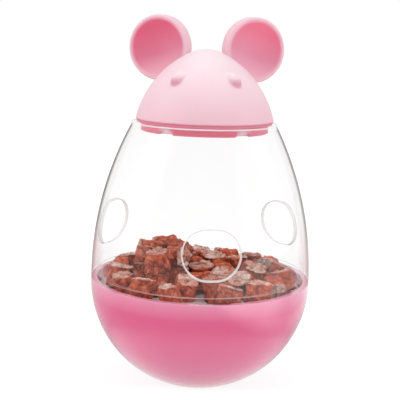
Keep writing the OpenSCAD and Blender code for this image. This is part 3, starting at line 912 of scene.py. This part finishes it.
def head_spots():
    """Soft spots on the head: painted shade and a painted highlight on the eyes, and painted pale
    light in the plug's notches.
    """
    notch_up, notch_reach, notch_r = 0.6, 3.4, (PLUG_R + PLUG_IN_R) / 2
    spots = []
    for centre, normal, axis in eye_frames():
        under = np.cross(normal, axis)
        under *= -math.copysign(EYE_R, under[2])
        end = EYE_LEN / 2
        spots += [(centre + axis * (end + 0.3 * EYE_R) + under * 0.55, 2.5, EYE_SHADE),
                  (centre + axis * (end + 0.7 * EYE_R) + under * 0.1, 2.1, EYE_CREASE_SHADE),
                  (centre - axis * (end / 2) - under * 0.5, 2.0, EYE_HIGHLIGHT)]
    # Painted pale light in the plug's notches
    for i in range(NOTCH_COUNT):
        turn = math.radians(FACE + (i + 0.5) * 360 / NOTCH_COUNT)
        point = notch_r * math.cos(turn), notch_r * math.sin(turn), PLUG_Z + notch_up
        spots.append((point, notch_reach, NOTCH_PAINTED_LIGHT))
    return spots


# Pieces

shell = build_shell()
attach(shell, "shell")
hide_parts("clear_shell")
paint(shell, clear_material("clear_plastic", 1.0, SKIN_EDGE_LINE_STOPS, SKIN_LOW_REFRACTION_STOPS),
      clear_material("clear_plastic_lip", 0.35, CLEAR_STOPS),
      clear_material("clear_plastic_inside", 1.0, CLEAR_STOPS))

head = build_head()
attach(head, "lid")
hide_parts("mouse_head")
# Head colour by height: painted shade on the plug and the seat ring under the dome's edge, and
# painted top light that pales the dome towards its top
head_painted_light_stops = [(PLUG_Z, PLUG_SHADE_PINK), (MOUTH_Z - 0.1, PLUG_SHADE_PINK), (MOUTH_Z + 0.1, HEAD_EDGE_SHADE),
              (DOME_Z, HEAD_EDGE_SHADE), (DOME_Z + 0.8, HEAD_LOW), (DOME_Z + DOME_H, HEAD_TOP_LIT)]
paint(head, pink_by_height("head_satin", head_painted_light_stops, rough=0.43, grain=0.2, spots=head_spots()))

for hand, side_name in ((-1, "left"), (1, "right")):
    ear = build_ear(hand, f"ear_{side_name}_dished")
    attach(ear, "lid")
    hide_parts(f"ear_{side_name}")
    paint(ear, ear_material(f"ear_satin_{side_name}", hand))

treat_skin = treat_material("treat_meat")
for heap, node in zip(build_treats(), ("treat_buttons", "treat_chunks")):
    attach(heap, "base")
    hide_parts(node)
    paint(heap, treat_skin)

# Base colour by height: a painted highlight at the rim and a painted floor reflection low down
base_painted_light_stops = [(0.0, BASE_LOWER_REFLECTION), (0.72 * RIM_Z, BASE_UPPER), (RIM_Z - 6.0, BASE_UPPER),
              (RIM_Z, BASE_RIM_HIGHLIGHT)]
base_gloss = {"Specular IOR Level": 0.25, "Coat Weight": 0.7, "Coat Roughness": 0.06}
base_skin = pink_by_height("base_gloss", base_painted_light_stops, rough=0.2, grain=0.05, gloss=base_gloss)
plate_skin = moulded("floor_plastic", PLATE_DARK, PLATE_LIGHT, rough=0.4, grain=0.2, edge=0.0004)
iron = metal_material("cast_iron_weight", IRON_DARK, IRON_LIGHT,
                      metallic=0.6, rough=0.6, scale=500, depth=0.0002)
steel = metal_material("screw_steel", STEEL_DARK, STEEL_LIGHT,
                       metallic=1.0, rough=0.3, scale=900, depth=0.00003)
for name, mat in (("base_bowl", base_skin), ("floor_plate", plate_skin), ("counterweight", iron),
                  ("weight_screw", steel), ("weight_washer", steel)):
    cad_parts[name].material_slots[0].material = mat


# Stage, in metres

def seen_rays(graph):
    """Kinds of ray, one for those from the camera or through plastic, and one for gloss too."""
    path = graph.add("LightPath").outputs
    straight = graph.math("MAXIMUM", path["Is Camera Ray"], path["Is Transmission Ray"])
    return path, straight, graph.math("MAXIMUM", straight, path["Is Glossy Ray"])


def build_floor():
    """White table with a faint shadow, a little darker through the shell. In the gloss it is
    bright near the toy, behind it, far in front and on a card at its right, and dark between."""
    half, through_share = 3.0, 0.92
    shadow_grey, bounce_grey = (0.2, 0.2, 0.2, 1), (0.85, 0.85, 0.85, 1)
    corners = [(-half, -half, 0), (half, -half, 0), (half, half, 0), (-half, half, 0)]
    mesh = bpy.data.meshes.new("stage_floor")
    mesh.from_pydata(corners, [], [(0, 1, 2, 3)])
    floor = add_object("stage_floor", mesh)
    mat = bpy.data.materials.new("stage_white")
    mat.use_nodes = True
    graph = Graph(mat.node_tree)
    out = graph.add("OutputMaterial")
    lit, plain = graph.add("BsdfDiffuse"), graph.add("BsdfDiffuse")
    graph.put(shadow_grey, lit.inputs["Color"])
    graph.put(bounce_grey, plain.inputs["Color"])
    path, _, seen = seen_rays(graph)
    place = graph.add("NewGeometry").outputs["Position"]
    away, at = graph.vector_math("LENGTH", place), graph.split(place)
    near = graph.math("MULTIPLY", graph.ease(at["Y"], -0.02, 0.03, 1.0, 0.35),
                      graph.ease(away, 0.05, 0.084, 1.0, 0.0))
    far = graph.ease(at["Y"], -0.27, -0.14, 0.6, 0.1)
    behind = graph.ease(at["Y"], -0.06, 0.04, 0.1, 0.5)
    card = graph.math("MULTIPLY", graph.ease(at["X"], 0.035, 0.092, 0.0, 1.0),
                      graph.ease(at["Y"], -0.06, 0.0, 2.6, 0.9))
    mirrored = graph.math("SUBTRACT", path["Is Glossy Ray"], path["Is Transmission Ray"])
    card = graph.math("MULTIPLY", card, mirrored)
    through = graph.math("MULTIPLY", path["Is Transmission Ray"], through_share)
    white = graph.math("MULTIPLY", graph.math("MAXIMUM", path["Is Camera Ray"], through),
                       graph.ease(away, 0.06, 0.25, 0.88, 1.0))
    strength = near
    for value in (far, behind, card, white):
        strength = graph.math("MAXIMUM", strength, value)
    glow = graph.add("Emission")
    graph.put(strength, glow.inputs["Strength"])
    both = graph.add("AddShader")
    graph.fill(both, {0: lit.outputs[0], 1: glow.outputs[0]})
    graph.put(graph.blend(seen, plain, both), out.inputs[0])
    paint(floor, mat)


def build_world():
    """White round the toy, and a darker room in the gloss."""
    light_strength = 0.62
    world = bpy.data.worlds.new("studio")
    bpy.context.scene.world = world
    world.use_nodes = True
    graph = Graph(world.node_tree)
    out = graph.add("OutputWorld")
    light, shown = graph.add("Background"), graph.add("Background")
    _, straight, seen = seen_rays(graph)
    way = graph.split(graph.add("TexCoord").outputs["Generated"])
    room = graph.ease(way["Y"], -0.7, -0.2, 0.1, 0.75)
    graph.fill(light, {"Color": WHITE, "Strength": light_strength})
    graph.fill(shown, {"Color": WHITE, "Strength": graph.math("MAXIMUM", straight, room)})
    graph.put(graph.blend(seen, light, shown), out.inputs[0])


def softbox(name, place, width, height, radiance):
    """Area lamp that looks at the toy."""
    target = Vector((0, 0, 0.06))
    lamp = bpy.data.lights.new(name, "AREA")
    lamp.shape, lamp.size, lamp.size_y = "RECTANGLE", width, height
    lamp.energy = math.pi * width * height * radiance
    obj = add_object(name, lamp)
    obj.location = place
    obj.rotation_euler = (target - Vector(place)).to_track_quat("-Z", "Y").to_euler()


def build_camera():
    """Camera that was fitted to the photo: the toy's top leans a little to the right in it."""
    place, pitch, roll = (-0.0008, -0.3538, 0.1310), math.radians(9.95), math.radians(1.74)
    focal_px, frame_px = 984.0, 400
    data = bpy.data.cameras.new("camera")
    data.sensor_fit, data.sensor_width = "AUTO", 36.0
    data.lens = focal_px / frame_px * data.sensor_width
    data.clip_start, data.clip_end = 0.01, 20
    cam = add_object("camera", data)
    cam.matrix_world = (Matrix.Translation(place)
                        @ Matrix.Rotation(math.pi / 2 - pitch, 4, "X")
                        @ Matrix.Rotation(roll, 4, "Z"))
    bpy.context.scene.camera = cam


build_floor()
build_world()
build_camera()
softbox("top_box", (0.0, -0.15, 0.8), width=0.8, height=0.8, radiance=1.25)
softbox("left_box", (-0.75, -0.2, 0.35), width=0.5, height=0.7, radiance=1.0)
softbox("right_box", (0.77, -0.2, 0.3), width=0.9, height=0.8, radiance=0.45)
bpy.context.scene.view_settings.view_transform = "Standard"
